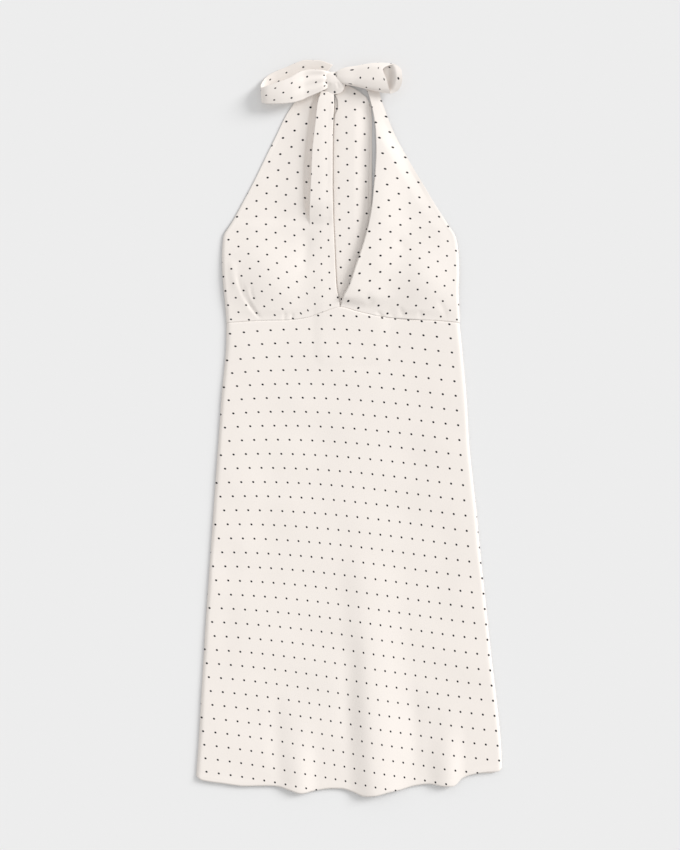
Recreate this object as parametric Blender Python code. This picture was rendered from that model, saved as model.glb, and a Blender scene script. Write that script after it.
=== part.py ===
"""Halter dress with a bow tie, laid flat: bodice fronts, back, skirt panels, knot, loops and tie ends.

Tables are in millimetres and meshes in metres. X runs to the right of the wearer's front view, Y towards
the bow and Z up from the surface that the dress lies on.
"""

import math

import bpy
import numpy as np

MM = 0.001
CLOTH = 1.2
GAP = 0.3
OVER_BACK = CLOTH + GAP
SEAM_HALF = 0.15
TIE_RISE = 1.5
CENTRE_X = -14.9
SIDE_RISE = 2.7
WAIST_Y = 181.0
HEM_Y = -600.0
FABRIC_COLOUR = (0.89, 0.85, 0.81, 1.0)

# Side seams of the skirt: y, left edge x, right edge x
SKIRT_SIDES = (
    (181, -207.4, 188.7),
    (139, -208.3, 192.9),
    (99, -211.7, 196.5),
    (60, -215.6, 200.2),
    (-25, -221.5, 205.2),
    (-74, -225.2, 210.0),
    (-139, -229.6, 217.4),
    (-207, -234.4, 223.6),
    (-305, -241.2, 233.8),
    (-380, -245.9, 241.4),
    (-462, -250.8, 250.8),
    (-538, -254.9, 258.2),
    (-577, -257.5, 260.3),
    (-600, -259.0, 260.8),
)

# Underbust seam of the front: x, y
FRONT_SEAM = (
    (-208, 179.4),
    (-183, 181.1),
    (-147, 183.4),
    (-110, 184.0),
    (-74, 188.0),
    (-45, 197.6),
    (-15, 206.8),
    (14.5, 199.4),
    (40, 193.2),
    (65.5, 188.8),
    (108, 185.3),
    (156, 182.6),
    (190, 179.4),
)

# Front hem: x, y
FRONT_HEM = (
    (-259, -590.8),
    (-250, -597.6),
    (-213, -603.5),
    (-176, -608.0),
    (-139, -607.4),
    (-120, -608.6),
    (-102, -614.4),
    (-80, -620.4),
    (-58, -615.8),
    (-28, -612.0),
    (-13, -612.2),
    (8, -618.0),
    (27, -625.0),
    (45, -624.0),
    (67, -618.2),
    (86, -614.4),
    (111, -607.4),
    (137, -604.4),
    (163, -608.0),
    (178, -608.0),
    (193, -594.6),
    (208, -588.8),
    (230, -585.0),
    (255, -583.0),
    (261, -577.0),
)

# Back hem: x, y
BACK_HEM = (
    (-259, -586),
    (-200, -597),
    (-100, -604),
    (0, -607),
    (100, -602),
    (150, -598),
    (190, -590),
    (225, -586.6),
    (245, -586.2),
    (261, -576),
)

# Folds that run up from the hem: x at the hem, shift of x per mm up, half width on the left and on
# the right, height at the hem, y where it has died away
HEM_FOLDS = (
    (-84, 0.00, 44, 36, 6.5, -430),
    (44, -0.05, 50, 72, 10.0, -150),
    (168, 0.02, 40, 34, 8.0, -400),
)

# Left front, seam to knot: outer edge x, y, neck edge x, y
LEFT_FRONT = (
    (-207.5, 180, -15.1, 207),
    (-209.5, 208, -15.6, 216),
    (-212.5, 238, -20.5, 240),
    (-214.6, 266, -22.0, 264),
    (-215.2, 292, -23.2, 288),
    (-213.4, 324, -24.2, 316),
    (-199.0, 350, -25.6, 345),
    (-184.5, 376, -26.6, 376),
    (-161.0, 420, -27.2, 416),
    (-139.6, 464, -27.2, 460),
    (-122.0, 500, -26.8, 498),
    (-107.0, 531, -25.8, 526),
    (-97.0, 547, -24.8, 545),
    (-84.0, 564, -24.4, 558),
    (-68.0, 577.0, -25.0, 569.4),
)

# Right front, seam to knot: outer edge x, y, neck edge x, y
RIGHT_FRONT = (
    (189.2, 180, -14.7, 207),
    (188.2, 206, -10.6, 222),
    (187.0, 236, 1.6, 247),
    (187.9, 264, 11.4, 276),
    (187.0, 296, 21.0, 304),
    (182.8, 324, 27.6, 325),
    (167.5, 350, 33.4, 347),
    (148.8, 379, 39.4, 379),
    (128.4, 413, 42.8, 412),
    (109.7, 444, 45.4, 443),
    (92.7, 474, 46.8, 473),
    (77.4, 503, 46.2, 502),
    (65.5, 532, 43.0, 530),
    (57.0, 556, 38.0, 552),
    (50.0, 578, 33.0, 570),
    (36.0, 598, 24.0, 582),
    (14.0, 606, 10.0, 587),
    (-4.6, 606, -4.6, 586),
)

# Deep fold of the left front: y, where its near side starts, where its ridge stands, height of the ridge
LEFT_FOLD = (
    (180, -80.0, -74.0, 0.0),
    (344, -70.0, -66.0, 0.0),
    (363, -71.4, -66.3, 3.0),
    (388, -74.6, -65.5, 7.0),
    (422, -74.8, -63.8, 8.5),
    (465, -73.0, -62.0, 8.5),
    (523, -67.2, -55.8, 8.0),
    (552, -63.0, -52.6, 6.5),
    (572, -54.0, -47.0, 4.0),
)

# Ties that hang from the knot: left edge x, y, right edge x, y
TAIL_RIGHT = (
    (-22.9, 566.8, -4.6, 585.0),
    (-19.0, 560, 16.0, 574),
    (-18.0, 546, 34.0, 556),
    (-28.0, 521, 37.0, 524),
    (-33.0, 473, 36.0, 473),
    (-34.0, 410, 34.0, 410),
    (-34.0, 340, 33.0, 340),
    (-32.0, 270, 31.0, 270),
    (-34.0, 200, 28.0, 206),
    (-36.0, 138, 25.0, 152),
)
TAIL_LEFT = (
    (-21.5, 567.0, -4.5, 584.0),
    (-24.0, 557, 20.0, 568),
    (-27.0, 541, 38.0, 548),
    (-28.0, 515, 40.0, 518),
    (-28.0, 473, 40.0, 473),
    (-27.0, 410, 40.0, 410),
    (-26.0, 340, 38.0, 340),
    (-25.0, 290, 38.0, 292),
    (-24.0, 240, 38.0, 248),
    (-22.0, 186, 39.0, 172),
)

# Left loop of the bow, from the knot out underneath and back on top: upper edge x, y, z, lower edge x, y, z
LOOP_LEFT = (
    (-26.0, 618, 6.5, -49.0, 591, 3.5),
    (-50, 626, 4.6, -58, 585, 1.8),
    (-72, 627, 3.4, -72, 581, 0.8),
    (-90, 622, 2.4, -88, 579, 0.3),
    (-106, 615, 1.4, -104, 578, 0.1),
    (-124, 608, 1.0, -120, 574, 0.1),
    (-138, 600, 2.0, -132, 566, 0.3),
    (-146, 590, 6.0, -142, 560, 2.0),
    (-149, 581, 13.0, -148, 556, 7.0),
    (-146, 577, 20.0, -147, 553, 14.0),
    (-135, 580, 24.0, -138, 550, 18.0),
    (-115, 587, 25.0, -118, 549.5, 19.0),
    (-98, 594, 24.0, -99, 551, 18.5),
    (-82, 604, 21.0, -80, 556, 17.0),
    (-66, 608, 16.0, -64, 566, 14.5),
    (-46.4, 605, 10.4, -46.4, 580, 10.4),
)

# Right loop of the bow, a flattened band open at its right end, one row for each place round it:
# x, y, z at the knot, in the middle and at the open end
LOOP_RIGHT = (
    (-5.3, 586.0, 12.4, 38.0, 574.0, 13.6, 72.0, 568.0, 12.4),
    (-5.3, 594.0, 11.3, 44.0, 584.0, 11.5, 84.0, 573.0, 11.0),
    (-5.3, 602.0, 12.0, 45.0, 602.0, 12.0, 91.0, 590.0, 13.0),
    (-5.3, 607.0, 13.6, 44.0, 615.0, 14.4, 90.0, 606.0, 14.5),
    (-5.3, 609.0, 15.4, 41.0, 618.5, 17.2, 77.0, 616.5, 17.0),
    (-5.3, 604.0, 17.2, 36.0, 610.0, 21.4, 58.0, 607.0, 22.0),
    (-5.3, 596.0, 17.6, 34.0, 592.0, 22.4, 64.0, 590.0, 23.5),
    (-5.3, 588.0, 16.0, 33.0, 577.0, 19.0, 69.0, 574.0, 19.5),
)

# Rise of the lip at the end of the right loop
LIP_RISE = 7.0

KNOT_CENTRE = (-25.5, 588.6, 9.0)
KNOT_HALF = (20.5, 16.8, 8.4)
KNOT_ROUNDNESS = 2.4
KNOT_RINGS = 10
KNOT_SEGMENTS = 20

# Cups: centre x, centre y, half width, half height, rise
LEFT_CUP = (-128, 252, 84, 72, 9.0)
RIGHT_CUP = (122, 254, 80, 72, 9.0)


def fabric(name):
    material = bpy.data.materials.new(name)
    material.use_nodes = True
    shader = material.node_tree.nodes["Principled BSDF"]
    shader.inputs["Base Color"].default_value = FABRIC_COLOUR
    shader.inputs["Roughness"].default_value = 0.85
    return material


def smooth(t):
    t = np.clip(t, 0.0, 1.0)
    return t * t * (3.0 - 2.0 * t)


def along(table, at, column):
    """A smooth curve through one column of a table, read at places of its first column."""
    rows = sorted(table)
    places = np.array([row[0] for row in rows], float)
    values = np.array([row[column] for row in rows], float)
    rates = np.diff(values) / np.diff(places)
    before, after = rates[:-1], rates[1:]
    same = before * after > 0
    total = np.where(same, before + after, 1.0)
    slopes = np.concatenate([rates[:1], np.where(same, 2 * before * after / total, 0.0), rates[-1:]])
    at = np.clip(at, places[0], places[-1])
    i = np.clip(np.searchsorted(places, at, side="right") - 1, 0, len(places) - 2)
    span = places[i + 1] - places[i]
    t = (at - places[i]) / span
    rise = (1 + 2 * t) * (1 - t) ** 2 * values[i] + t * t * (3 - 2 * t) * values[i + 1]
    return rise + span * (t * (1 - t) ** 2 * slopes[i] - t * t * (1 - t) * slopes[i + 1])


def refined(table, count):
    """Rows of a table, spread evenly along it by its row number and smoothed."""
    numbered = [(i, *row) for i, row in enumerate(table)]
    at = np.linspace(0, len(table) - 1, count)
    return np.stack([along(numbered, at, k + 1) for k in range(len(table[0]))], axis=1)


def bump(x, y, cup):
    centre_x, centre_y, half_x, half_y, rise = cup
    far = ((x - centre_x) / half_x) ** 2 + ((y - centre_y) / half_y) ** 2
    return rise * np.clip(1 - far, 0, 1) ** 1.4


def hem_folds(x, y):
    """Rise of the folds that stand at the hem."""
    total = np.zeros_like(x)
    for crest, drift, left, right, height, died in HEM_FOLDS:
        from_hem = y - HEM_Y
        middle = crest + drift * from_hem
        strength = smooth((died - y) / (died - HEM_Y)) ** 1.1
        off = x - middle
        width = np.where(off < 0, left, right)
        total = total + height * strength * (0.5 + 0.5 * np.cos(np.pi * np.clip(off / width, -1, 1)))
    return total


def roll(from_left, from_right):
    """Height of a panel that turns down to its neighbour at both side seams and sags a little between them."""
    near = np.minimum(from_left, from_right)
    return SIDE_RISE * np.sqrt(smooth(near / 13)) - 0.7 * smooth((near - 20) / 90)


def tie_support(x, y):
    """Height at which a front lies where the tie ends, the back, or neither is underneath."""
    over_back = OVER_BACK * (1 - smooth((y - 340) / 20)) + 0.5 * smooth((y - 340) / 20)
    ties = smooth((x + 86) / 45) * (1 - smooth((x - 46) / 60))
    ties = ties * smooth((y - 66) / 66)
    return over_back + ties * (2 * TIE_RISE + 0.1 + OVER_BACK - over_back)


def seam_height(x):
    left = along(SKIRT_SIDES, np.full_like(x, WAIST_Y), 1)
    right = along(SKIRT_SIDES, np.full_like(x, WAIST_Y), 2)
    return roll(x - left, right - x)


def lifted(under, wall=CLOTH):
    """The upper face straight above the lower one, raised more where the cloth is steep."""
    across = np.gradient(under, axis=1)
    down = np.gradient(under, axis=0)
    normal = np.cross(across, down)
    normal /= np.linalg.norm(normal, axis=2, keepdims=True)
    upright = np.clip(np.abs(normal[:, :, 2]), 0.45, 1.0)
    over = under.copy()
    over[:, :, 2] += wall / upright
    return over


def cloth(name, under, over, closed=False):
    """A closed wall between two grids of points; a closed one is a band that runs round its columns."""
    rows, columns = under.shape[:2]
    points = np.concatenate([under.reshape(-1, 3), over.reshape(-1, 3)]) * MM
    above = rows * columns
    faces = []

    def quad(a, b, c, d):
        faces.append((a, b, c, d))

    last = columns if closed else columns - 1
    for r in range(rows - 1):
        for c in range(last):
            n = (c + 1) % columns
            a, b = r * columns + c, r * columns + n
            d, e = a + columns, b + columns
            quad(a, b, e, d)
            quad(above + a, above + d, above + e, above + b)
    for c in range(last):
        n = (c + 1) % columns
        low = (rows - 1) * columns
        quad(c, above + c, above + n, n)
        quad(low + c, low + n, above + low + n, above + low + c)
    if not closed:
        for r in range(rows - 1):
            a, d = r * columns, (r + 1) * columns
            b, e = a + columns - 1, d + columns - 1
            quad(a, d, above + d, above + a)
            quad(b, above + b, above + e, e)
    return solid(name, points, faces)


def solid(name, points, faces):
    corners = points[[face[0] for face in faces]]
    second = points[[face[1] for face in faces]]
    third = points[[face[2] for face in faces]]
    fourth = points[[face[-1] for face in faces]]
    volume = np.einsum("ij,ij->", corners, np.cross(second, third))
    volume += np.einsum("ij,ij->", corners, np.cross(third, fourth))
    if volume < 0:
        faces = [tuple(reversed(face)) for face in faces]
    mesh = bpy.data.meshes.new(name)
    mesh.from_pydata(points.tolist(), [], faces)
    mesh.update()
    mesh.polygons.foreach_set("use_smooth", [True] * len(mesh.polygons))
    thing = bpy.data.objects.new(name, mesh)
    thing.data.materials.append(fabric(name + "_fabric"))
    bpy.context.scene.collection.objects.link(thing)
    return thing


def shares(count, ends):
    """Places from 0 to 1 that lie closer together near both ends."""
    even = np.linspace(0, 1, count)
    return even - ends * np.sin(2 * np.pi * even) / (2 * np.pi)


def skirt_grid(columns, rows, inset, seam, hem):
    """Points of a skirt panel from the seam to the hem, flat, with y bent to the seam and the hem."""
    u, v = np.meshgrid(shares(columns, 0.55), shares(rows, 0.35))
    level = WAIST_Y + (HEM_Y - WAIST_Y) * v
    left = along(SKIRT_SIDES, level, 1) + inset
    right = along(SKIRT_SIDES, level, 2) - inset
    x = left + (right - left) * u
    top = along(seam, x, 1) - SEAM_HALF if seam else np.full_like(x, WAIST_Y - SEAM_HALF)
    y = level + (top - WAIST_Y) * (1 - v) ** 3 + (along(hem, x, 1) - HEM_Y) * v**3
    return x, y, x - left, right - x


def make_front_skirt():
    x, y, from_left, from_right = skirt_grid(44, 27, 0.0, FRONT_SEAM, FRONT_HEM)
    rise = roll(from_left, from_right)
    edge = smooth(np.minimum(from_left, from_right) / 9)
    laid = np.maximum(OVER_BACK + rise, tie_support(x, y))
    under = np.stack([x, y, laid + hem_folds(x, y) * edge], axis=2)
    return cloth("front_skirt", under, lifted(under))


def make_back_skirt():
    x, y, from_left, from_right = skirt_grid(20, 12, 0.4, None, BACK_HEM)
    under = np.stack([x, y, np.zeros_like(x)], axis=2)
    return cloth("back_skirt", under, lifted(under))


def make_back_bodice():
    rows = refined(LEFT_FRONT[:6], 7), refined(RIGHT_FRONT[:6], 7)
    left, right = rows[0][:, 0] + 0.4, rows[1][:, 0] - 0.4
    u, v = np.meshgrid(np.linspace(0, 1, 16), np.linspace(0, 1, 7))
    x = left[:, None] + (right - left)[:, None] * u
    top = 300 + 20 * ((x - CENTRE_X) / 200) ** 2
    y = WAIST_Y + SEAM_HALF + (top - WAIST_Y) * v
    under = np.stack([x, y, np.zeros_like(x)], axis=2)
    return cloth("back_bodice", under, lifted(under))


def front_grid(table, columns, rows, stations):
    """Points of a front between its outer edge and its neck edge, flat, and each point's share across."""
    edges = refined(table, rows)
    u = np.broadcast_to(stations, (rows, columns)) if np.ndim(stations) == 1 else stations
    x = edges[:, 0:1] + (edges[:, 2:3] - edges[:, 0:1]) * u
    y = edges[:, 1:2] + (edges[:, 3:4] - edges[:, 1:2]) * u
    v = np.linspace(0, 1, rows)[:, None]
    straight = edges[0, 1] + (edges[0, 3] - edges[0, 1]) * u
    seam = along(FRONT_SEAM, x, 1) + SEAM_HALF
    y = y + (seam - straight) * np.clip(1 - v / 0.16, 0, 1) ** 1.5
    return x, y, edges


def fold_columns(edges, outside, ridge):
    """Shares across the left front, with columns set along the fold's near side, foot, ridge and neck."""
    level = edges[:, 3]
    width = edges[:, 2] - edges[:, 0]
    near = (along(LEFT_FOLD, level, 1) - edges[:, 0]) / width
    crest = (along(LEFT_FOLD, level, 2) - edges[:, 0]) / width
    near = np.clip(near, 0.05, 0.8)
    crest = np.clip(crest, near + 0.02, 0.86)
    foot = near + (crest - near) * 0.8
    out = shares(outside, 0.4)[None, :] * near[:, None]
    middle = np.stack([near + (foot - near) * 0.5, foot, crest], axis=1)
    reach = np.linspace(0, 1, ridge + 1)[1:]
    inner = crest[:, None] + (1 - crest)[:, None] * reach[None, :]
    return np.concatenate([out, middle, inner], axis=1)


def make_front_left():
    rows, outside, ridge = 30, 16, 6
    edges = refined(LEFT_FRONT, rows)
    stations = fold_columns(edges, outside, ridge)
    x, y, edges = front_grid(LEFT_FRONT, stations.shape[1], rows, stations)
    support = tie_support(x, y)
    from_side = x - edges[:, 0:1]
    at_seam = 1 - smooth((y - along(FRONT_SEAM, x, 1)) / 40)
    side = roll(from_side, from_side)
    calm = support * (1 - at_seam) + (OVER_BACK + seam_height(x)) * at_seam
    calm = np.maximum(calm, tie_support(x, y))
    cup = bump(x, y, LEFT_CUP)
    near = along(LEFT_FOLD, y, 1)
    crest = along(LEFT_FOLD, y, 2)
    height = along(LEFT_FOLD, y, 3)
    neck = edges[:, 2:3]
    climb = smooth((x - (crest - 2.4)) / 2.6)
    fall = 1 - smooth((x - (crest + 7)) / np.maximum(neck - crest - 7, 8))
    before = 0.30 * smooth((x - (near - 34)) / 26) * (1 - smooth((x - (near - 6)) / 8))
    ridge = height * (climb * (0.10 + 0.90 * fall) + before)
    z = calm + np.maximum(side * (1 - at_seam), 0) * smooth((420 - y) / 160) + cup + ridge
    z = np.maximum(z, 0.4)
    under = np.stack([x, y, z], axis=2)
    return cloth("front_bodice_left", under, lifted(under))


def make_front_right():
    rows, columns = 32, 22
    x, y, edges = front_grid(RIGHT_FRONT, columns, rows, shares(columns, 0.5))
    support = tie_support(x, y)
    from_side = edges[:, 0:1] - x
    from_neck = x - edges[:, 2:3]
    at_seam = 1 - smooth((y - along(FRONT_SEAM, x, 1)) / 40)
    side = roll(from_side, from_side)
    calm = support * (1 - at_seam) + (OVER_BACK + seam_height(x)) * at_seam
    calm = np.maximum(calm, tie_support(x, y))
    cup = bump(x, y, RIGHT_CUP)
    open_part = smooth((y - 208) / 40)
    stand = 7.6 * open_part * (1 - smooth(from_neck / 58)) * (1 - 0.3 * smooth((y - 510) / 40))
    z = calm + np.maximum(side * (1 - at_seam), 0) * smooth((400 - y) / 150) + np.maximum(cup, stand)
    z = np.minimum(z, 12.4 - 3.0 * smooth((y - 500) / 40))
    under = np.stack([x, y, z], axis=2)
    return cloth("front_bodice_right", under, lifted(under))


def make_tail(name, table, columns, rows, layer):
    edges = refined(table, rows)
    u = np.linspace(0, 1, columns)[None, :]
    x = edges[:, 0:1] + (edges[:, 2:3] - edges[:, 0:1]) * u
    y = edges[:, 1:2] + (edges[:, 3:4] - edges[:, 1:2]) * u
    under = np.stack([x, y, np.full_like(x, OVER_BACK + layer * TIE_RISE)], axis=2)
    return cloth(name, under, lifted(under))


def make_loop_left():
    path = refined(LOOP_LEFT, 30)
    u = np.linspace(0, 1, 7)[None, :, None]
    under = path[:, None, 0:3] * (1 - u) + path[:, None, 3:6] * u
    way = np.linspace(0, 1, 30)[:, None]
    bow_out = 1.8 * np.sin(np.pi * u[:, :, 0]) * smooth((way - 0.5) / 0.2) * (1 - smooth((way - 0.8) / 0.2))
    across = np.gradient(under, axis=1)
    down = np.gradient(under, axis=0)
    normal = np.cross(across, down)
    normal /= np.linalg.norm(normal, axis=2, keepdims=True)
    outer = under + normal * bow_out[:, :, None]
    return cloth("loop_left", outer, outer - normal * CLOTH)


def make_loop_right():
    ring = np.array(LOOP_RIGHT, float)
    numbered = [(i, *row) for i, row in enumerate(np.concatenate([ring[-2:], ring, ring[:3]]).tolist())]
    at = np.linspace(2, 2 + len(ring), 25)[:-1]
    round_it = np.stack([along(numbered, at, k + 1) for k in range(9)], axis=1)
    start, middle, end = round_it[:, 0:3], round_it[:, 3:6], round_it[:, 6:9]
    steps = np.sin(np.linspace(0, math.pi / 2, 13))
    grid = np.stack(
        [start * (1 - t) * (1 - 2 * t) + middle * 4 * t * (1 - t) + end * t * (2 * t - 1) for t in steps]
    )
    way = np.linspace(0, len(ring), 25)[:-1]
    lower = np.exp(-(((way - 2.0) / 1.5) ** 2))
    grid[:, :, 2] += LIP_RISE * lower[None, :] * smooth((steps[:, None] - 0.74) / 0.16)
    nexts = np.roll(grid, -1, axis=1) - np.roll(grid, 1, axis=1)
    normal = np.cross(nexts, np.gradient(grid, axis=0))
    normal /= np.linalg.norm(normal, axis=2, keepdims=True)
    inwards = grid.mean(axis=1, keepdims=True) - grid
    side = np.sign(np.sum(inwards * normal, axis=2, keepdims=True).sum())
    return cloth("loop_right", grid, grid + normal * side * CLOTH, closed=True)


def make_knot():
    centre, half = np.array(KNOT_CENTRE), np.array(KNOT_HALF)
    points = [centre - (0, 0, half[2])]
    power = 2 / KNOT_ROUNDNESS
    for ring in range(1, KNOT_RINGS):
        rise = -math.pi / 2 + math.pi * ring / KNOT_RINGS
        level = math.copysign(abs(math.sin(rise)) ** power, rise)
        wide = math.cos(rise) ** power
        for k in range(KNOT_SEGMENTS):
            turn = 2 * math.pi * k / KNOT_SEGMENTS
            x = math.copysign(abs(math.cos(turn)) ** power, math.cos(turn))
            y = math.copysign(abs(math.sin(turn)) ** power, math.sin(turn))
            points.append(centre + half * (wide * x, wide * y, level))
    points.append(centre + (0, 0, half[2]))
    faces = []
    top = len(points) - 1
    for k in range(KNOT_SEGMENTS):
        n = (k + 1) % KNOT_SEGMENTS
        faces.append((0, 1 + n, 1 + k))
        last = 1 + (KNOT_RINGS - 2) * KNOT_SEGMENTS
        faces.append((last + k, last + n, top))
        for ring in range(KNOT_RINGS - 2):
            low = 1 + ring * KNOT_SEGMENTS
            high = low + KNOT_SEGMENTS
            faces.append((low + k, low + n, high + n, high + k))
    return solid("tie_knot", np.array(points) * MM, faces)


for thing in list(bpy.data.objects):
    bpy.data.objects.remove(thing, do_unlink=True)

make_back_skirt()
make_back_bodice()
make_tail("tail_left", TAIL_LEFT, 5, 14, 0)
make_tail("tail_right", TAIL_RIGHT, 5, 14, 1)
make_front_skirt()
make_front_left()
make_front_right()
make_loop_left()
make_loop_right()
make_knot()
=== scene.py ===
"""Halter dress in dotted crepe, lying flat and seen from straight above."""

import math

import bpy
import numpy as np
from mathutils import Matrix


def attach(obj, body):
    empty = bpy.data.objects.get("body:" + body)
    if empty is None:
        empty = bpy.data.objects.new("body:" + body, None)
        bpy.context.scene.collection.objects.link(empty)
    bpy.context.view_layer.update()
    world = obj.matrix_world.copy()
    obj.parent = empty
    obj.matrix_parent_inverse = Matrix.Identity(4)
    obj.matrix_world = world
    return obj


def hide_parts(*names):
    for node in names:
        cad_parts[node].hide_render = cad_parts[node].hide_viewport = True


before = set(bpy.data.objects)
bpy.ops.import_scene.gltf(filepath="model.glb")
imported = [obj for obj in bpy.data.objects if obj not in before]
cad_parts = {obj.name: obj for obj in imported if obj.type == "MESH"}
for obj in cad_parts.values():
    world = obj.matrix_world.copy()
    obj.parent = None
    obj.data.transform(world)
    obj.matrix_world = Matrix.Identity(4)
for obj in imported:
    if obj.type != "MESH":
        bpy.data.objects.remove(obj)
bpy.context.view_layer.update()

MM = 0.001
PIXEL = 1.7
PHOTO_X = 348.5
PHOTO_Y = 428.5
CAD_CLOTH = 1.2
CLOTH = 0.5
OVER_BACK = 1.5
TIE_RISE = 1.5
SIDE_RISE = 2.7
WAIST_Y = 181.0
HEM_Y = -600.0
TIE_WIDTH = 52.0
DIAGONAL_PITCH = 20.7 * math.sqrt(2)

# Back panel: middle of the dress, height of its top edge, and how far it lies inside the side seams
CENTRE_X = -14.9
BACK_TOP_Y = 300.0
BACK_INSET = 0.4

# Turned hems: width to the stitch line, then rise
SKIRT_HEM = (9.0, 0.2)
EDGE_HEM = (6.0, 0.1)
SIDE_SEAM_TOP_Y = 324.0

# Left front's fold: share of its table's heights that the ridge reaches, and depth of the valley
FOLD_RIDGE_SHARE = 1.55
FOLD_VALLEY_DEPTH = 2.8

# Right front's neck edge, which stands over the tie ends
NECK_STAND = 6.6
NECK_STAND_FROM_Y = 202.0
STRAP_TOP_HEIGHT = 13.4

# Bow: belly and gathers of the left loop, then reach and rise of each loop over the knot
LOOP_BELLY = 1.8
LOOP_GATHER = 0.8
LEFT_OVER_KNOT = (15.0, 6.4)
RIGHT_OVER_KNOT = (16.0, 0.6)

# Studio: place of the camera in metres, strength of the surround, grey of the floor
CAMERA_AT = (-0.01445, 0.00595, 3.216)
SURROUND_STRENGTH = 0.68
FLOOR_GREY = 0.84

# Side seams of the skirt: y, left edge x, right edge x
SKIRT_SIDES = (
    (181, -207.4, 188.7),
    (139, -208.3, 192.9),
    (99, -211.7, 196.5),
    (60, -215.6, 200.2),
    (-25, -221.5, 205.2),
    (-74, -225.2, 210.0),
    (-139, -229.6, 217.4),
    (-207, -234.4, 223.6),
    (-305, -241.2, 233.8),
    (-380, -245.9, 241.4),
    (-462, -250.8, 250.8),
    (-538, -254.9, 258.2),
    (-577, -257.5, 260.3),
    (-600, -259.0, 260.8),
)

# Underbust seam of the front: x, y
FRONT_SEAM = (
    (-208, 179.4),
    (-183, 181.1),
    (-147, 183.4),
    (-110, 184.0),
    (-74, 188.0),
    (-45, 197.6),
    (-15, 206.8),
    (14.5, 199.4),
    (40, 193.2),
    (65.5, 188.8),
    (108, 185.3),
    (156, 182.6),
    (190, 179.4),
)

# Front hem: x, y
FRONT_HEM = (
    (-259, -590.8),
    (-250, -597.6),
    (-213, -603.5),
    (-176, -608.0),
    (-139, -607.4),
    (-120, -608.6),
    (-102, -614.4),
    (-80, -620.4),
    (-58, -615.8),
    (-28, -612.0),
    (-13, -612.2),
    (8, -618.0),
    (27, -625.0),
    (45, -624.0),
    (67, -618.2),
    (86, -614.4),
    (111, -607.4),
    (137, -604.4),
    (163, -608.0),
    (178, -608.0),
    (193, -594.6),
    (208, -588.8),
    (230, -585.0),
    (255, -583.0),
    (261, -577.0),
)

# Back hem: x, y
BACK_HEM = (
    (-259, -586),
    (-200, -597),
    (-100, -604),
    (0, -607),
    (100, -602),
    (150, -598),
    (190, -590),
    (225, -586.6),
    (245, -586.2),
    (261, -576),
)

# Folds that run up from the hem: x at the hem, shift of x per mm up, half width on the left and on
# the right, height at the hem, y where it has died away
HEM_FOLDS = (
    (-84, 0.00, 40, 34, 4.0, -470),
    (44, -0.05, 48, 76, 7.6, -60),
    (168, 0.02, 38, 32, 4.6, -450),
)

# Left front, seam to knot: outer edge x, y, neck edge x, y
LEFT_FRONT = (
    (-207.5, 180, -15.1, 207),
    (-209.5, 208, -15.6, 216),
    (-212.5, 238, -20.5, 240),
    (-214.6, 266, -22.0, 264),
    (-215.2, 292, -23.2, 288),
    (-213.4, 324, -24.2, 316),
    (-199.0, 350, -25.6, 345),
    (-184.5, 376, -26.6, 376),
    (-161.0, 420, -27.2, 416),
    (-139.6, 464, -27.2, 460),
    (-122.0, 500, -26.8, 498),
    (-107.0, 531, -25.8, 526),
    (-97.0, 547, -24.8, 545),
    (-84.0, 564, -24.4, 558),
    (-68.0, 577.0, -25.0, 569.4),
)

# Right front, seam to knot: outer edge x, y, neck edge x, y
RIGHT_FRONT = (
    (189.2, 180, -14.7, 207),
    (188.2, 206, -10.6, 222),
    (187.0, 236, 1.6, 247),
    (187.9, 264, 11.4, 276),
    (187.0, 296, 21.0, 304),
    (182.8, 324, 27.6, 325),
    (167.5, 350, 33.4, 347),
    (148.8, 379, 39.4, 379),
    (128.4, 413, 42.8, 412),
    (109.7, 444, 45.4, 443),
    (92.7, 474, 46.8, 473),
    (77.4, 503, 46.2, 502),
    (65.5, 532, 43.0, 530),
    (57.0, 556, 38.0, 552),
    (50.0, 578, 33.0, 570),
    (36.0, 598, 24.0, 582),
    (14.0, 606, 10.0, 587),
    (-4.6, 606, -4.6, 586),
)

# Deep fold of the left front: y, x where its near side starts, x of its ridge, height of the ridge
LEFT_FOLD = (
    (180, -80.0, -74.0, 0.0),
    (344, -70.0, -66.0, 0.0),
    (363, -71.4, -66.3, 2.6),
    (388, -74.6, -65.5, 5.4),
    (422, -74.8, -63.8, 6.0),
    (465, -73.0, -62.0, 6.0),
    (523, -67.2, -55.8, 5.6),
    (552, -63.0, -52.6, 5.0),
    (572, -54.0, -47.0, 4.0),
)

# Ties that hang from the knot: left edge x, y, right edge x, y
TAIL_RIGHT = (
    (-22.9, 566.8, -4.6, 585.0),
    (-19.0, 560, 16.0, 574),
    (-18.0, 546, 34.0, 556),
    (-28.0, 521, 37.0, 524),
    (-33.0, 473, 36.0, 473),
    (-34.0, 410, 34.0, 410),
    (-34.0, 340, 33.0, 340),
    (-32.0, 270, 31.0, 270),
    (-34.0, 200, 28.0, 206),
    (-36.0, 138, 25.0, 152),
)
TAIL_LEFT = (
    (-21.5, 567.0, -4.5, 584.0),
    (-24.0, 557, 20.0, 568),
    (-27.0, 541, 38.0, 548),
    (-28.0, 515, 40.0, 518),
    (-28.0, 473, 40.0, 473),
    (-27.0, 410, 40.0, 410),
    (-26.0, 340, 38.0, 340),
    (-25.0, 290, 38.0, 292),
    (-24.0, 240, 38.0, 248),
    (-22.0, 186, 39.0, 172),
)

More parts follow.
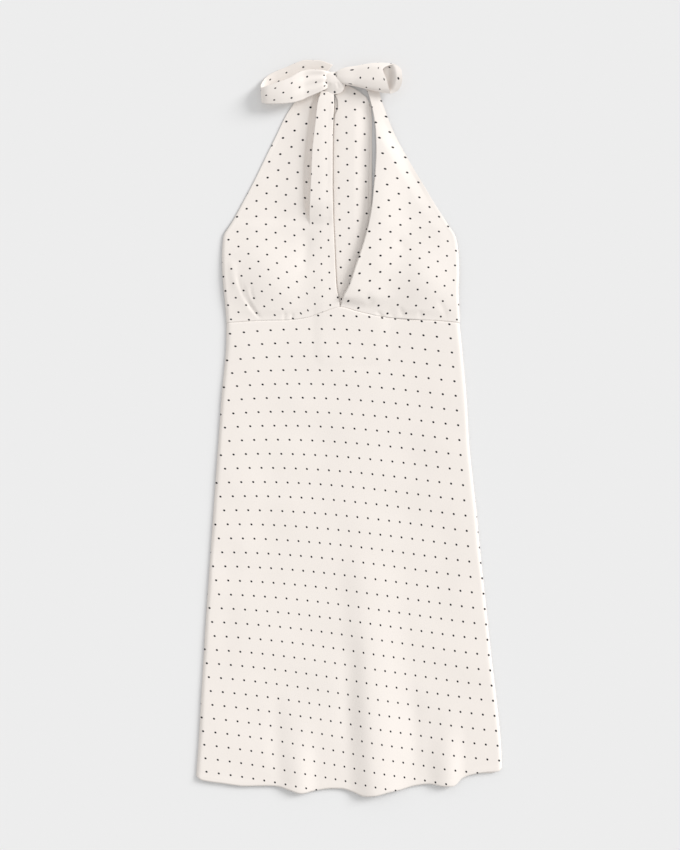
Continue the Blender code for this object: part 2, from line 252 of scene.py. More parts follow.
# Left loop of the bow, from the knot out underneath and back on top: upper edge x, y, z, then
# lower edge x, y, z
LOOP_LEFT = (
    (-26.0, 618, 6.5, -49.0, 591, 3.5),
    (-50, 626, 4.6, -58, 585, 1.8),
    (-72, 627, 3.4, -72, 581, 0.8),
    (-90, 622, 2.4, -88, 579, 0.3),
    (-106, 615, 1.4, -104, 578, 0.1),
    (-124, 608, 1.0, -120, 574, 0.1),
    (-138, 600, 2.0, -132, 566, 0.3),
    (-146, 590, 6.0, -142, 560, 2.0),
    (-149, 581, 13.0, -148, 556, 7.0),
    (-146, 577, 20.0, -147, 553, 14.0),
    (-135, 580, 24.0, -138, 550, 18.0),
    (-115, 587, 25.0, -118, 549.5, 19.0),
    (-98, 594, 24.0, -99, 551, 18.5),
    (-82, 604, 21.0, -80, 556, 17.0),
    (-66, 608, 16.0, -64, 566, 14.5),
    (-46.4, 605, 10.4, -46.4, 580, 10.4),
)

# Right loop of the bow, a flattened band open at its right end: x, y, z at the knot, in the middle
# and at the open end
LOOP_RIGHT = (
    (-5.3, 586.0, 12.4, 38.0, 574.0, 13.6, 72.0, 568.0, 12.4),
    (-5.3, 594.0, 11.3, 44.0, 584.0, 11.5, 84.0, 573.0, 11.0),
    (-5.3, 602.0, 12.0, 45.0, 602.0, 12.0, 91.0, 590.0, 13.0),
    (-5.3, 607.0, 13.6, 44.0, 615.0, 14.4, 90.0, 606.0, 14.5),
    (-5.3, 609.0, 15.4, 41.0, 618.5, 17.2, 77.0, 616.5, 17.0),
    (-5.3, 604.0, 17.2, 36.0, 610.0, 21.4, 58.0, 607.0, 22.0),
    (-5.3, 596.0, 17.6, 34.0, 592.0, 22.4, 64.0, 590.0, 23.5),
    (-5.3, 588.0, 16.0, 33.0, 577.0, 19.0, 69.0, 574.0, 19.5),
)

# Rise of the lip at the end of the right loop
LIP_RISE = 7.0

KNOT_CENTRE = (-25.5, 588.6, 9.0)
KNOT_HALF = (20.5, 16.8, 8.4)
KNOT_ROUNDNESS = 2.4

# Cups: centre x, centre y, half width, half height, rise
LEFT_CUP = (-128, 252, 84, 72, 9.0)
RIGHT_CUP = (122, 254, 80, 72, 9.0)

# Dots read off the photograph: x and y in its pixels, number along the falling and the other diagonal
SKIRT_DOTS = (
    (321, 328.5, 2, -15),
    (399.5, 347.5, 8, -14),
    (254.5, 358, -4, -13),
    (459, 425.5, 12, -9),
    (346, 441.5, 2, -7),
    (258, 455, -6, -6),
    (407, 492.5, 7, -4),
    (464.5, 515, 12, -3),
    (295.5, 527, -4, -1),
    (360, 532.5, 2, -1),
    (218.5, 537.5, -11, 0),
    (449.5, 590, 10, 2),
    (397.5, 597.5, 5, 3),
    (350.5, 620.5, 0, 5),
    (476.5, 653, 12, 6),
    (262.5, 653.5, -9, 8),
    (427.5, 693, 7, 9),
    (349.5, 709.5, -1, 11),
    (496.5, 731, 13, 11),
    (204.5, 745, -15, 15),
    (295, 772, -7, 16),
    (385, 788, 2, 16),
)
LEFT_CUP_DOTS = (
    (268.5, 161.5, -4, -4),
    (288, 178.5, -2, -4),
    (247, 193.5, -3, -1),
    (266, 224.5, 0, 0),
    (237.5, 231.5, -1, 2),
    (295, 235, 2, -1),
    (250, 268.5, 2, 4),
    (278, 278, 4, 3),
    (264.5, 307, 5, 6),
    (312, 239.5, 3, -2),
    (314.5, 272, 5, 0),
    (325.5, 297, 7, 1),
)
STRIP_DOTS = (
    (311, 157.5, -2, -7),
    (326, 160, -1, -8),
    (318.5, 167, -1, -7),
    (320.5, 216, 2, -4),
    (321, 232, 3, -3),
    (312, 239.5, 3, -2),
    (328.5, 255.5, 5, -2),
    (314.5, 272, 5, 0),
)
RIGHT_CUP_DOTS = (
    (390, 132, -7, -6),
    (418.5, 198, -2, -3),
    (378, 208, -3, 0),
    (400, 209.5, -2, -1),
    (439.5, 216, 0, -3),
    (456, 251, 3, -2),
    (401.5, 256, 1, 2),
    (379.5, 289, 2, 5),
    (417, 290, 4, 3),
)
TAIL_DOTS = (
    (338, 109, -4, -3),
    (346.5, 165, 0, 0),
    (356, 172, 1, 0),
    (348.5, 213, 3, 3),
    (338.5, 218.5, 3, 4),
    (351, 260.5, 6, 6),
)

# Creases in the cloth: three places x, y, then half width and depth (a ridge is a negative depth)
LEFT_CREASES = (
    (-189, 271, -178, 226, -147, 184, 2.6, 1.1),
    (-182, 258, -171, 222, -151, 190, 2.0, 0.7),
    (-173, 222, -162, 202, -145, 184, 2.2, 1.1),
    (-163, 243, -165, 230, -157, 214, 2.2, 0.9),
    (-108, 200, -109, 190, -110, 182, 2.5, 0.9),
    (-95, 198, -96, 190, -96, 182, 2.5, 0.9),
    (-198, 290, -196, 262, -188, 232, 7.0, -1.0),
    (-70, 340, -72, 300, -78, 262, 9.0, 0.8),
)
RIGHT_CREASES = (
    (47, 201, 55, 192, 64, 184, 3.0, 1.4),
    (87, 208, 90, 199, 93, 189, 3.0, 1.1),
    (74, 195, 76, 190, 79, 185, 2.5, 0.8),
    (121, 201, 122, 194, 122, 186, 3.0, 0.9),
    (26, 232, 34, 220, 42, 210, 7.0, 0.9),
    (78, 322, 88, 314, 100, 300, 9.0, 0.8),
    (150, 220, 160, 205, 168, 186, 5.0, 0.7),
)
KNOT_CREASES = (
    (-44, 572, -36, 580, -30, 586, 2.6, 0.8),
    (-16, 575, -18, 582, -20, 588, 2.4, 0.7),
)
SKIRT_CREASES = (
    (-150, 60, -140, -120, -150, -300, 30, 0.6),
    (-40, 120, -48, -60, -40, -240, 34, 0.5),
    (90, 60, 100, -100, 92, -280, 34, 0.6),
    (150, -80, 158, -220, 150, -380, 26, 0.6),
    (-200, -120, -206, -300, -214, -460, 20, 0.6),
    (10, -330, 4, -450, 0, -560, 16, 1.2),
    (-120, -430, -124, -520, -120, -600, 14, 1.0),
    (110, -420, 114, -520, 118, -600, 15, 1.0),
)


def smooth(t):
    t = np.clip(t, 0.0, 1.0)
    return t * t * (3.0 - 2.0 * t)


def along(table, at, column):
    """A smooth curve through one column of a table, read at places of its first column."""
    rows = sorted(table)
    places = np.array([row[0] for row in rows], float)
    values = np.array([row[column] for row in rows], float)
    rates = np.diff(values) / np.diff(places)
    before, after = rates[:-1], rates[1:]
    same = before * after > 0
    total = np.where(same, before + after, 1.0)
    slopes = np.concatenate([rates[:1], np.where(same, 2 * before * after / total, 0.0), rates[-1:]])
    at = np.clip(at, places[0], places[-1])
    i = np.clip(np.searchsorted(places, at, side="right") - 1, 0, len(places) - 2)
    span = places[i + 1] - places[i]
    t = (at - places[i]) / span
    rise = (1 + 2 * t) * (1 - t) ** 2 * values[i] + t * t * (3 - 2 * t) * values[i + 1]
    return rise + span * (t * (1 - t) ** 2 * slopes[i] - t * t * (1 - t) * slopes[i + 1])


def refined(table, count):
    """Rows of a table, spread evenly along it by its row number and smoothed."""
    numbered = [(i, *row) for i, row in enumerate(table)]
    at = np.linspace(0, len(table) - 1, count)
    return np.stack([along(numbered, at, k + 1) for k in range(len(table[0]))], axis=1)


def bump(x, y, cup):
    """Rise of a cup."""
    centre_x, centre_y, half_x, half_y, rise = cup
    far = ((x - centre_x) / half_x) ** 2 + ((y - centre_y) / half_y) ** 2
    return rise * np.clip(np.exp(-1.9 * far) - 0.02, 0, 1)


def hem_folds(x, y):
    """Rise of the folds that stand at the hem."""
    total = np.zeros_like(x)
    for crest, drift, left, right, height, died in HEM_FOLDS:
        middle = crest + drift * (y - HEM_Y)
        strength = smooth((died - y) / (died - HEM_Y)) ** 1.1
        off = x - middle
        width = np.where(off < 0, left, right)
        total = total + height * strength * (0.5 + 0.5 * np.cos(np.pi * np.clip(off / width, -1, 1)))
    return total


def roll(from_left, from_right):
    """Height of a panel that turns down at both side seams and sags a little between them."""
    near = np.minimum(from_left, from_right)
    return SIDE_RISE * np.sqrt(smooth(near / 5)) - 0.7 * smooth((near - 20) / 90)


def tie_support(x, y):
    """Height at which a front lies where the tie ends, the back, or neither is underneath."""
    over_back = OVER_BACK * (1 - smooth((y - 340) / 20)) + 0.5 * smooth((y - 340) / 20)
    ties = smooth((x + 86) / 45) * (1 - smooth((x - 46) / 60))
    ties = ties * smooth((y - 66) / 66)
    return over_back + ties * (2 * TIE_RISE + 0.1 + OVER_BACK - over_back)


def seam_height(x):
    left = along(SKIRT_SIDES, np.full_like(x, WAIST_Y), 1)
    right = along(SKIRT_SIDES, np.full_like(x, WAIST_Y), 2)
    return roll(x - left, right - x)


def creased(x, y, table):
    """Depth of listed creases: soft troughs or ridges along bent lines that fade at their ends."""
    total = np.zeros_like(x)
    for x0, y0, x1, y1, x2, y2, half, depth in table:
        reach = 3 * half
        near = (x > min(x0, x1, x2) - reach) & (x < max(x0, x1, x2) + reach)
        near &= (y > min(y0, y1, y2) - reach) & (y < max(y0, y1, y2) + reach)
        px, py = x[near], y[near]
        best = np.full(px.shape, 1e9)
        place = np.zeros(px.shape)
        for t in np.linspace(0, 1, 41):
            bend_x = (1 - t) ** 2 * x0 + 2 * t * (1 - t) * (2 * x1 - 0.5 * (x0 + x2)) + t * t * x2
            bend_y = (1 - t) ** 2 * y0 + 2 * t * (1 - t) * (2 * y1 - 0.5 * (y0 + y2)) + t * t * y2
            far = np.hypot(px - bend_x, py - bend_y)
            place = np.where(far < best, t, place)
            best = np.minimum(best, far)
        fade = smooth(place / 0.3) * smooth((1 - place) / 0.3)
        total[near] -= depth * np.exp(-((best / half) ** 2)) * fade
    return total


def waves(x, y, seed, size, height):
    """Slight unevenness of cloth that lies loose: a few long waves in chosen directions."""
    dice = np.random.default_rng(seed)
    total = np.zeros_like(x)
    for _ in range(9):
        turn = dice.uniform(0, math.pi)
        length = size * dice.uniform(0.6, 1.7)
        start = dice.uniform(0, 2 * math.pi)
        total = total + np.sin((x * math.cos(turn) + y * math.sin(turn)) * 2 * math.pi / length + start)
    return total * height / 3


def chart(dots, degree):
    """The repeat's two numbers as smooth functions of x and y, through the dots that were read."""
    rows = np.array(dots, float)
    x = (rows[:, 0] - PHOTO_X) * PIXEL / 100
    y = (PHOTO_Y - rows[:, 1]) * PIXEL / 100
    centre = x.mean(), y.mean()

    def terms(a, b):
        a, b = a - centre[0], b - centre[1]
        found = [np.ones_like(a), a, b]
        if degree > 1:
            found += [a * a, a * b, b * b]
        if degree > 2:
            found += [a**3, a * a * b, a * b * b, b**3]
        return np.stack(found, axis=-1)

    fitted = np.linalg.lstsq(terms(x, y), rows[:, 2:4], rcond=None)[0]
    return lambda a, b: terms(a / 100, b / 100) @ fitted


def normals(grid):
    """Directions at right angles to a grid of points."""
    across = np.gradient(grid, axis=1)
    down = np.gradient(grid, axis=0)
    normal = np.cross(across, down)
    return normal / np.maximum(np.linalg.norm(normal, axis=2, keepdims=True), 1e-9)


def sheet_mesh(name, grid, print_at):
    """A single layer of cloth from a grid of points, with the print's numbers as texture coordinates."""
    rows, columns = grid.shape[:2]
    index = np.arange(rows * columns).reshape(rows, columns)
    corners_of = [index[:-1, :-1], index[1:, :-1], index[1:, 1:], index[:-1, 1:]]
    faces = np.stack(corners_of, axis=-1).reshape(-1, 4)
    points = grid.reshape(-1, 3)
    first = points[faces[:, 0]]
    normal = np.cross(points[faces[:, 1]] - first, points[faces[:, 3]] - first)
    if normal[:, 2].sum() < 0:
        faces = faces[:, ::-1]
    mesh = bpy.data.meshes.new(name)
    mesh.from_pydata((points * MM).tolist(), [], faces.tolist())
    layer = mesh.uv_layers.new(name="print")
    corners = np.zeros(len(mesh.loops), np.int32)
    mesh.loops.foreach_get("vertex_index", corners)
    layer.uv.foreach_set("vector", print_at.reshape(-1, 2)[corners].astype(np.float32).ravel())
    mesh.polygons.foreach_set("use_smooth", [True] * len(mesh.polygons))
    mesh.update()
    thing = bpy.data.objects.new(name, mesh)
    bpy.context.scene.collection.objects.link(thing)
    return thing


def give_thickness(thing):
    thicker = thing.modifiers.new("thickness", "SOLIDIFY")
    thicker.thickness = CLOTH * MM
    thicker.offset = -1.0
    thicker.use_rim = True
    return thing


def crepe(name, dot_pitch):
    """Cream crepe with small dark dots; dot_pitch is the distance between dots along each number, in mm."""
    material = bpy.data.materials.new(name)
    material.use_nodes = True
    nodes, links = material.node_tree.nodes, material.node_tree.links
    shader = nodes["Principled BSDF"]
    shader.inputs["Roughness"].default_value = 0.88
    shader.inputs["Sheen Weight"].default_value = 0.12
    shader.inputs["Sheen Roughness"].default_value = 0.45
    shader.inputs["Specular IOR Level"].default_value = 0.2

    place = nodes.new("ShaderNodeUVMap")
    place.uv_map = "print"
    centred = nodes.new("ShaderNodeVectorMath")
    centred.operation = "ADD"
    centred.inputs[1].default_value = (0.5, 0.5, 0.0)
    links.new(place.outputs["UV"], centred.inputs[0])
    cell = nodes.new("ShaderNodeVectorMath")
    cell.operation = "FRACTION"
    links.new(centred.outputs["Vector"], cell.inputs[0])
    offset = nodes.new("ShaderNodeVectorMath")
    offset.operation = "SUBTRACT"
    offset.inputs[1].default_value = (0.5, 0.5, 0.0)
    links.new(cell.outputs["Vector"], offset.inputs[0])
    real = nodes.new("ShaderNodeVectorMath")
    real.operation = "MULTIPLY"
    real.inputs[1].default_value = (dot_pitch[0], dot_pitch[1], 0.0)
    links.new(offset.outputs["Vector"], real.inputs[0])
    far = nodes.new("ShaderNodeVectorMath")
    far.operation = "LENGTH"
    links.new(real.outputs["Vector"], far.inputs[0])
    dot = nodes.new("ShaderNodeMapRange")
    dot.inputs["From Min"].default_value = 1.5
    dot.inputs["From Max"].default_value = 2.1
    dot.inputs["To Min"].default_value = 1.0
    dot.inputs["To Max"].default_value = 0.0
    links.new(far.outputs["Value"], dot.inputs["Value"])

    where = nodes.new("ShaderNodeTexCoord")
    mottle = nodes.new("ShaderNodeTexNoise")
    mottle.inputs["Scale"].default_value = 55.0
    mottle.inputs["Detail"].default_value = 3.0
    links.new(where.outputs["Object"], mottle.inputs["Vector"])
    ground = nodes.new("ShaderNodeMixRGB")
    ground.inputs["Color1"].default_value = (0.885, 0.826, 0.776, 1.0)
    ground.inputs["Color2"].default_value = (0.905, 0.846, 0.796, 1.0)
    links.new(mottle.outputs["Fac"], ground.inputs["Fac"])
    printed = nodes.new("ShaderNodeMixRGB")
    printed.inputs["Color2"].default_value = (0.012, 0.012, 0.016, 1.0)
    links.new(dot.outputs["Result"], printed.inputs["Fac"])
    links.new(ground.outputs["Color"], printed.inputs["Color1"])
    links.new(printed.outputs["Color"], shader.inputs["Base Color"])

    grain = nodes.new("ShaderNodeTexNoise")
    grain.inputs["Scale"].default_value = 1300.0
    grain.inputs["Detail"].default_value = 4.0
    grain.inputs["Roughness"].default_value = 0.65
    links.new(where.outputs["Object"], grain.inputs["Vector"])
    relief = nodes.new("ShaderNodeBump")
    relief.inputs["Strength"].default_value = 0.35
    relief.inputs["Distance"].default_value = 0.0003
    links.new(grain.outputs["Fac"], relief.inputs["Height"])
    links.new(relief.outputs["Normal"], shader.inputs["Normal"])
    return material


SKIRT_CREPE = crepe("skirt_crepe", (19.8, 24.8))
BODICE_CREPE = crepe("bodice_crepe", (20.8, 20.4))


def finish_piece(thing, material, node):
    """Joins a sheet to the part: adds its material to a slot, hangs it from the root and hides the node it
    stands for.
    """
    thing.data.materials.append(material)
    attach(thing, "root")
    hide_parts(node)
    return thing


def shares(count, ends):
    """Places from 0 to 1 that lie closer together near both ends."""
    even = np.linspace(0, 1, count)
    return even - ends * np.sin(2 * np.pi * even) / (2 * np.pi)


def hem_step(distance, width, rise):
    """A hem turned up on the wrong side: the cloth is a little thicker to its stitch line."""
    past = distance - width
    return rise * (1 - smooth(past / 1.6)) - 0.4 * rise * np.exp(-(((past - 0.6) / 0.9) ** 2))


def side_hem(from_side, y):
    """The turned outer edge of a strap, which starts where the side seam ends."""
    return hem_step(from_side, *EDGE_HEM) * smooth((y - SIDE_SEAM_TOP_Y) / 10)


def seam_groove(distance):
    return -0.06 * np.exp(-((distance / 1.2) ** 2))


def skirt_grid(columns, rows, inset, seam, hem):
    """Points of a skirt panel, flat, and their distances from its left, right, hem and seam."""
    u, v = np.meshgrid(shares(columns, 0.35), shares(rows, 0.2))
    level = WAIST_Y + (HEM_Y - WAIST_Y) * v
    left = along(SKIRT_SIDES, level, 1) + inset
    right = along(SKIRT_SIDES, level, 2) - inset
    x = left + (right - left) * u
    top = along(seam, x, 1) if seam else np.full_like(x, WAIST_Y)
    bottom = along(hem, x, 1)
    y = level + (top - WAIST_Y) * (1 - v) ** 3 + (bottom - HEM_Y) * v**3
    return x, y, x - left, right - x, y - bottom, top - y


def make_front_skirt():
    x, y, from_left, from_right, from_hem, from_seam = skirt_grid(136, 236, 0.0, FRONT_SEAM, FRONT_HEM)
    rise = roll(from_left, from_right)
    edge = smooth(np.minimum(from_left, from_right) / 9)
    z = np.maximum(OVER_BACK + rise, tie_support(x, y)) + hem_folds(x, y) * edge + CAD_CLOTH
    z = z + (creased(x, y, SKIRT_CREASES) + waves(x, y, 5, 130, 0.35)) * edge
    z = z + hem_step(from_hem, *SKIRT_HEM) + seam_groove(from_seam)
    z = np.maximum(z - 0.5 * (1 - edge), 1.4)
    numbers = chart(SKIRT_DOTS, 3)(x, y)
    return sheet_mesh("skirt_front_cloth", np.stack([x, y, z], axis=2), numbers)


def make_back_skirt():
    x, y, from_left, from_right = skirt_grid(84, 130, BACK_INSET, None, BACK_HEM)[:4]
    inside = smooth(np.minimum(from_left, from_right) / 12)
    z = 0.8 + 0.15 * waves(x, y, 11, 140, 1.0) * inside
    z = np.clip(z, 0.55, 1.1)
    numbers = chart(SKIRT_DOTS, 3)(-x, y) + 0.37
    return sheet_mesh("skirt_back_cloth", np.stack([x, y, z], axis=2), numbers)


def make_back_bodice():
    rows = 40
    left = refined(LEFT_FRONT[:6], rows)[:, 0:1] + BACK_INSET
    right = refined(RIGHT_FRONT[:6], rows)[:, 0:1] - BACK_INSET
    u, v = np.meshgrid(np.linspace(0, 1, 90), np.linspace(0, 1, rows))
    x = left + (right - left) * u
    top = BACK_TOP_Y + 20 * ((x - CENTRE_X) / 200) ** 2
    y = WAIST_Y + (top - WAIST_Y) * v
    z = 0.85 - 0.3 * np.exp(-(((y - WAIST_Y) / 1.5) ** 2)) + 0.1 * waves(x, y, 3, 90, 1.0)
    numbers = chart(RIGHT_CUP_DOTS, 1)(x * 0.9 + 30, y)
    return sheet_mesh("bodice_back_cloth", np.stack([x, y, np.clip(z, 0.5, 1.1)], axis=2), numbers)


def front_points(table, rows, stations):
    """Points of a front between its outer edge and its neck edge, flat."""
    edges = refined(table, rows)
    u = np.broadcast_to(stations, (rows, len(stations))) if np.ndim(stations) == 1 else stations
    x = edges[:, 0:1] + (edges[:, 2:3] - edges[:, 0:1]) * u
    y = edges[:, 1:2] + (edges[:, 3:4] - edges[:, 1:2]) * u
    v = np.linspace(0, 1, rows)[:, None]
    straight = edges[0, 1] + (edges[0, 3] - edges[0, 1]) * u
    y = y + (along(FRONT_SEAM, x, 1) - straight) * np.clip(1 - v / 0.16, 0, 1) ** 1.5
    return x, y, edges


def fold_columns(edges, outside, ridge):
    """Shares across the left front, closer together at the wall of its fold."""
    level = edges[:, 3]
    width = edges[:, 2] - edges[:, 0]
    near = np.clip((along(LEFT_FOLD, level, 1) - edges[:, 0]) / width, 0.05, 0.8)
    crest = (along(LEFT_FOLD, level, 2) - edges[:, 0]) / width
    crest = np.clip(crest, near + 0.02, 0.86)
    out = shares(outside, 0.25)[None, :] * near[:, None]
    middle = near[:, None] + (crest - near)[:, None] * np.sqrt(np.linspace(0, 1, 25))[None, 1:]
    inner = crest[:, None] + (1 - crest)[:, None] * np.linspace(0, 1, ridge + 1)[None, 1:] ** 1.3
    return np.concatenate([out, middle, inner], axis=1)


def make_front_left():
    rows = 170
    stations = fold_columns(refined(LEFT_FRONT, rows), 62, 36)
    x, y, edges = front_points(LEFT_FRONT, rows, stations)
    from_side = x - edges[:, 0:1]
    neck = edges[:, 2:3]
    from_neck = neck - x
    seam = y - along(FRONT_SEAM, x, 1)
    at_seam = 1 - smooth(seam / 40)
    side = roll(from_side, from_side)
    support = tie_support(x, y)
    calm = np.maximum(support * (1 - at_seam) + (OVER_BACK + seam_height(x)) * at_seam, support)
    near, crest, height = (along(LEFT_FOLD, y, k) for k in (1, 2, 3))
    climb = smooth((x - (crest - 1.0)) / 1.2)
    fall = 1 - np.clip((x - crest) / np.maximum(neck - crest, 8), 0, 1)
    before = 0.16 * smooth((x - (near - 50)) / 44) * (1 - smooth((x - (near - 8)) / 11))
    ridge = height * (FOLD_RIDGE_SHARE * climb * (0.62 + 0.38 * fall) + before)
    valley = smooth(height / 4) * smooth((x - near + 3) / 8) * (1 - climb)
    ridge = ridge - FOLD_VALLEY_DEPTH * valley
    cup_rise = bump(x, y, LEFT_CUP) * smooth((seam + 1) / 20)
    z = calm + side * (1 - at_seam) * smooth((420 - y) / 160) + cup_rise + ridge + CAD_CLOTH
    inside = smooth(np.minimum(from_side, from_neck) / 8)
    z = z + creased(x, y, LEFT_CREASES) + waves(x, y, 21, 80, 0.25) * inside
    z = z + hem_step(from_neck, *EDGE_HEM) + seam_groove(seam)
    z = z + side_hem(from_side, y)
    cup = chart(LEFT_CUP_DOTS, 2)(x, y)
    strip = chart(STRIP_DOTS, 1)(x, y)
    past = np.where(y > 348, smooth((x - crest + 1.4) / 1.6), smooth((x - near + 6) / 24))
    past = past[:, :, None]
    numbers = cup * (1 - past) + strip * past
    return sheet_mesh("bodice_left_cloth", np.stack([x, y, np.maximum(z, 1.0)], axis=2), numbers)


def make_front_right():
    rows, columns = 180, 84
    x, y, edges = front_points(RIGHT_FRONT, rows, shares(columns, 0.35))
    from_side = edges[:, 0:1] - x
    from_neck = x - edges[:, 2:3]
    seam = y - along(FRONT_SEAM, x, 1)
    at_seam = 1 - smooth(seam / 40)
    side = roll(from_side, from_side)
    support = tie_support(x, y)
    calm = np.maximum(support * (1 - at_seam) + (OVER_BACK + seam_height(x)) * at_seam, support)
    flat_top = smooth(from_side / 30) ** 0.7 * (1 - 0.8 * smooth((from_neck - 6) / 110))
    stand = NECK_STAND * smooth((y - NECK_STAND_FROM_Y) / 24) * flat_top
    stand = stand * (1 - 0.5 * smooth((y - 470) / 70))
    rolled = 0.85 * stand * (1 - smooth(from_neck / 0.7))
    cup_rise = np.cbrt(bump(x, y, RIGHT_CUP) ** 3 + stand**3) * smooth((seam + 1) / 20)
    z = calm + side * (1 - at_seam) * smooth((400 - y) / 150) + cup_rise
    z = np.minimum(z, STRAP_TOP_HEIGHT - 3.6 * smooth((y - 520) / 40)) + CAD_CLOTH - rolled
    inside = smooth(np.minimum(from_side, from_neck) / 8)
    z = z + creased(x, y, RIGHT_CREASES) + waves(x, y, 22, 80, 0.25) * inside
    z = z + seam_groove(seam) + side_hem(from_side, y)
    numbers = chart(RIGHT_CUP_DOTS, 2)(x, y)
    return sheet_mesh("bodice_right_cloth", np.stack([x, y, np.maximum(z, 1.0)], axis=2), numbers)


def make_tail(name, table, height, seed, sag):
    """A tie end, with a groove along the neck edge that lies on it and a sag under the right strap."""
    edges = refined(table, 120)
    u = np.linspace(0, 1, 96)[None, :]
    x = edges[:, 0:1] + (edges[:, 2:3] - edges[:, 0:1]) * u
    y = edges[:, 1:2] + (edges[:, 3:4] - edges[:, 1:2]) * u
    z = height + waves(x, y, seed, 60, 0.12)
    neck = along([(row[3], row[2]) for row in LEFT_FRONT], y, 1)
    z = z - 1.4 * np.exp(-(((x - neck - 0.5) / 0.9) ** 2))
    z = z - sag * smooth((x - 8) / 24) * smooth((y - 300) / 40) * (1 - smooth((y - 540) / 20))
    numbers = chart(TAIL_DOTS, 1)(x, y)
    return sheet_mesh(name, np.stack([x, y, z], axis=2), numbers)


def diagonals(a, b):
    """The repeat's two numbers where its dots lie on the diagonals of lengths a and b."""
    return np.stack([(a + b) / DIAGONAL_PITCH, (a - b) / DIAGONAL_PITCH], axis=2)


def band_print(grid, start):
    """The print along a tie, by lengths along and across the cloth."""
    steps = np.linalg.norm(np.diff(grid.mean(axis=1), axis=0), axis=1)
    lengths = np.concatenate([[0], np.cumsum(steps)])
    widths = np.linspace(0, TIE_WIDTH, grid.shape[1])
    length, width = np.meshgrid(lengths, widths, indexing="ij")
    return diagonals(length, width) + start


def make_loop_left():
    rows = 150
    path = refined(LOOP_LEFT, rows)
    u = np.linspace(0, 1, 26)[None, :, None]
    grid = path[:, None, 0:3] * (1 - u) + path[:, None, 3:6] * u
    way = np.linspace(0, 1, rows)[:, None]
    front = smooth((way - 0.5) / 0.2) * (1 - smooth((way - 0.8) / 0.2))
    bow_out = LOOP_BELLY * np.sin(np.pi * u[:, :, 0]) * front
    gather = LOOP_GATHER * np.sin(u[:, :, 0] * 17 + 0.6) * smooth((way - 0.78) / 0.16)
    normal = normals(grid)
    grid = grid + normal * (bow_out + gather)[:, :, None]
    over_knot = smooth((way - 0.88) / 0.12)
    reach, rise = LEFT_OVER_KNOT
    grid[:, :, 0] += reach * over_knot
    grid[:, :, 2] += rise * over_knot - 5.0 * smooth((way - 0.965) / 0.035)
    return sheet_mesh("loop_left_cloth", grid, band_print(grid, (0.2, 0.1)))


def make_loop_right():
    ring = np.array(LOOP_RIGHT, float)
    wrapped = np.concatenate([ring[-2:], ring, ring[:3]]).tolist()
    numbered = [(i, *row) for i, row in enumerate(wrapped)]
    count = 96
    at = np.linspace(2, 2 + len(ring), count + 1)[:-1]
    round_it = np.stack([along(numbered, at, k + 1) for k in range(9)], axis=1)
    start, middle, end = round_it[:, 0:3], round_it[:, 3:6], round_it[:, 6:9]
    steps = np.sin(np.linspace(0, math.pi / 2, 60))
    grid = np.stack(
        [start * (1 - t) * (1 - 2 * t) + middle * 4 * t * (1 - t) + end * t * (2 * t - 1) for t in steps]
    )
    way = np.linspace(0, len(ring), count + 1)[:-1]
    lower = np.exp(-(((way - 2.0) / 1.5) ** 2))
    grid[:, :, 2] += LIP_RISE * lower[None, :] * smooth((steps[:, None] - 0.74) / 0.16)
    over_knot = 1 - smooth(steps[:, None] / 0.22)
    reach, rise = RIGHT_OVER_KNOT
    grid[:, :, 0] -= reach * over_knot
    grid[:, :, 2] += rise * over_knot
    middle_of_ring = grid.mean(axis=1, keepdims=True)
    narrowed = 0.45 + 0.55 * np.sqrt(smooth(steps / 0.12))[:, None, None]
    grid = middle_of_ring + (grid - middle_of_ring) * narrowed
    closed = np.concatenate([grid, grid[:, :1]], axis=1)
    around, out = np.meshgrid(np.linspace(0, 4 * DIAGONAL_PITCH, count + 1), steps * 95)
    return sheet_mesh("loop_right_cloth", closed, diagonals(around, out))


def make_knot():
    centre, half = np.array(KNOT_CENTRE), np.array(KNOT_HALF)
    power = 2 / KNOT_ROUNDNESS
    rises = np.linspace(-0.4999, 0.4999, 60) * math.pi
    turns = np.linspace(0, 2 * math.pi, 121)
    rise, turn = np.meshgrid(rises, turns, indexing="ij")
    level = np.sign(rise) * np.abs(np.sin(rise)) ** power
    wide = np.cos(rise) ** power
    x = np.sign(np.cos(turn)) * np.abs(np.cos(turn)) ** power * wide
    y = np.sign(np.sin(turn)) * np.abs(np.sin(turn)) ** power * wide
    grid = centre + half * np.stack([x, y, level], axis=2)
    below = smooth((centre[1] - grid[:, :, 1]) / 22)
    grid[:, :, 1] -= 5.0 * below
    grid[:, :, 2] -= 6.5 * below * smooth(level)
    grid[:, :, 2] += creased(grid[:, :, 0], grid[:, :, 1], KNOT_CREASES) * smooth(level * 3)
    return sheet_mesh("knot_cloth", grid, diagonals(grid[:, :, 0], grid[:, :, 1]) + 0.3)


def make_floor():
    mesh = bpy.data.meshes.new("floor")
    mesh.from_pydata([(-5, -5, 0), (5, -5, 0), (5, 5, 0), (-5, 5, 0)], [], [(0, 1, 2, 3)])
    floor = bpy.data.objects.new("floor", mesh)
    bpy.context.scene.collection.objects.link(floor)
    paper = bpy.data.materials.new("paper")
    paper.use_nodes = True
    shader = paper.node_tree.nodes["Principled BSDF"]
    shader.inputs["Base Color"].default_value = (FLOOR_GREY, FLOOR_GREY, FLOOR_GREY, 1.0)
    shader.inputs["Roughness"].default_value = 0.95
    shader.inputs["Specular IOR Level"].default_value = 0.0
    mesh.materials.append(paper)


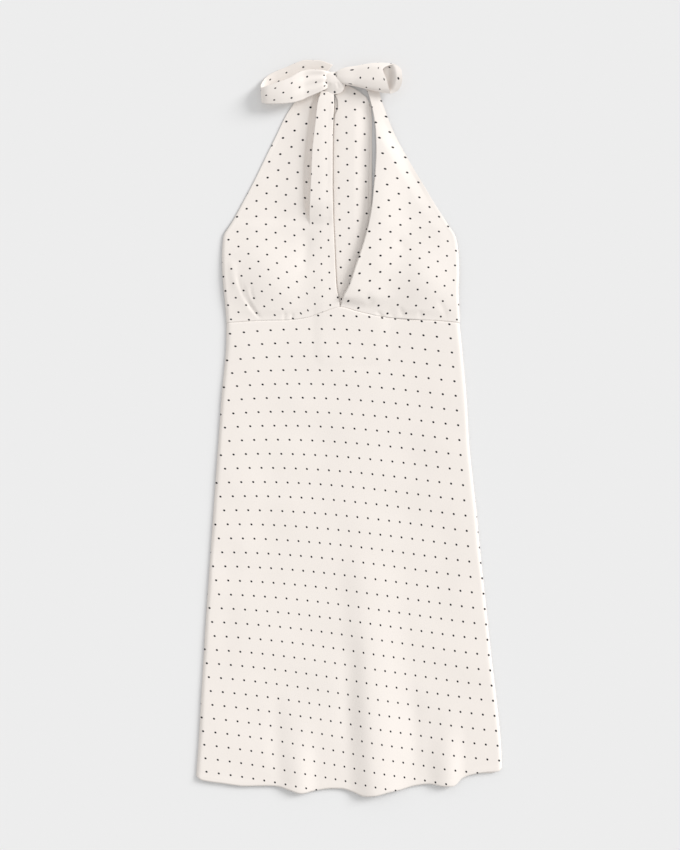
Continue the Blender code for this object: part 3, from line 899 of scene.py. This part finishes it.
def add_lamp(name, strength, width, tilt, turn):
    """A far, even lamp; width, tilt and turn are angles in degrees."""
    lamp = bpy.data.lights.new(name, "SUN")
    lamp.energy = strength
    lamp.angle = math.radians(width)
    light = bpy.data.objects.new(name, lamp)
    light.rotation_euler = (0.0, math.radians(tilt), math.radians(turn))
    bpy.context.scene.collection.objects.link(light)


def make_light_and_camera():
    scene = bpy.context.scene
    scene.view_settings.view_transform = "Standard"
    world = bpy.data.worlds.new("studio")
    world.use_nodes = True
    world.node_tree.nodes["Background"].inputs["Color"].default_value = (1.0, 1.0, 1.0, 1.0)
    world.node_tree.nodes["Background"].inputs["Strength"].default_value = SURROUND_STRENGTH
    scene.world = world
    add_lamp("softbox", 2.4, 24, 66, 27)
    add_lamp("top_softbox", 0.1, 30, 55, 84)
    lens = bpy.data.cameras.new("camera")
    lens.lens = 80.0
    lens.sensor_width = 36.0
    camera = bpy.data.objects.new("camera", lens)
    camera.location = CAMERA_AT
    scene.collection.objects.link(camera)
    scene.camera = camera


back_skirt = finish_piece(
    give_thickness(make_back_skirt()), SKIRT_CREPE, "back_skirt"
)
back_bodice = finish_piece(
    give_thickness(make_back_bodice()), BODICE_CREPE, "back_bodice"
)
tail_left = finish_piece(
    give_thickness(make_tail("tail_left_cloth", TAIL_LEFT, 2.6, 8, 1.2)),
    BODICE_CREPE, "tail_left",
)
tail_right = finish_piece(
    give_thickness(make_tail("tail_right_cloth", TAIL_RIGHT, 4.1, 9, 2.4)),
    BODICE_CREPE, "tail_right",
)
front_skirt = finish_piece(
    give_thickness(make_front_skirt()), SKIRT_CREPE, "front_skirt",
)
finish_piece(
    give_thickness(make_front_left()), BODICE_CREPE, "front_bodice_left",
)
finish_piece(
    give_thickness(make_front_right()), BODICE_CREPE, "front_bodice_right",
)
loop_left = finish_piece(
    give_thickness(make_loop_left()), BODICE_CREPE, "loop_left",
)
loop_right = finish_piece(
    give_thickness(make_loop_right()), BODICE_CREPE, "loop_right",
)
knot = make_knot()
knot.data.materials.append(BODICE_CREPE)
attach(knot, "root")
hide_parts("tie_knot")

make_floor()
make_light_and_camera()
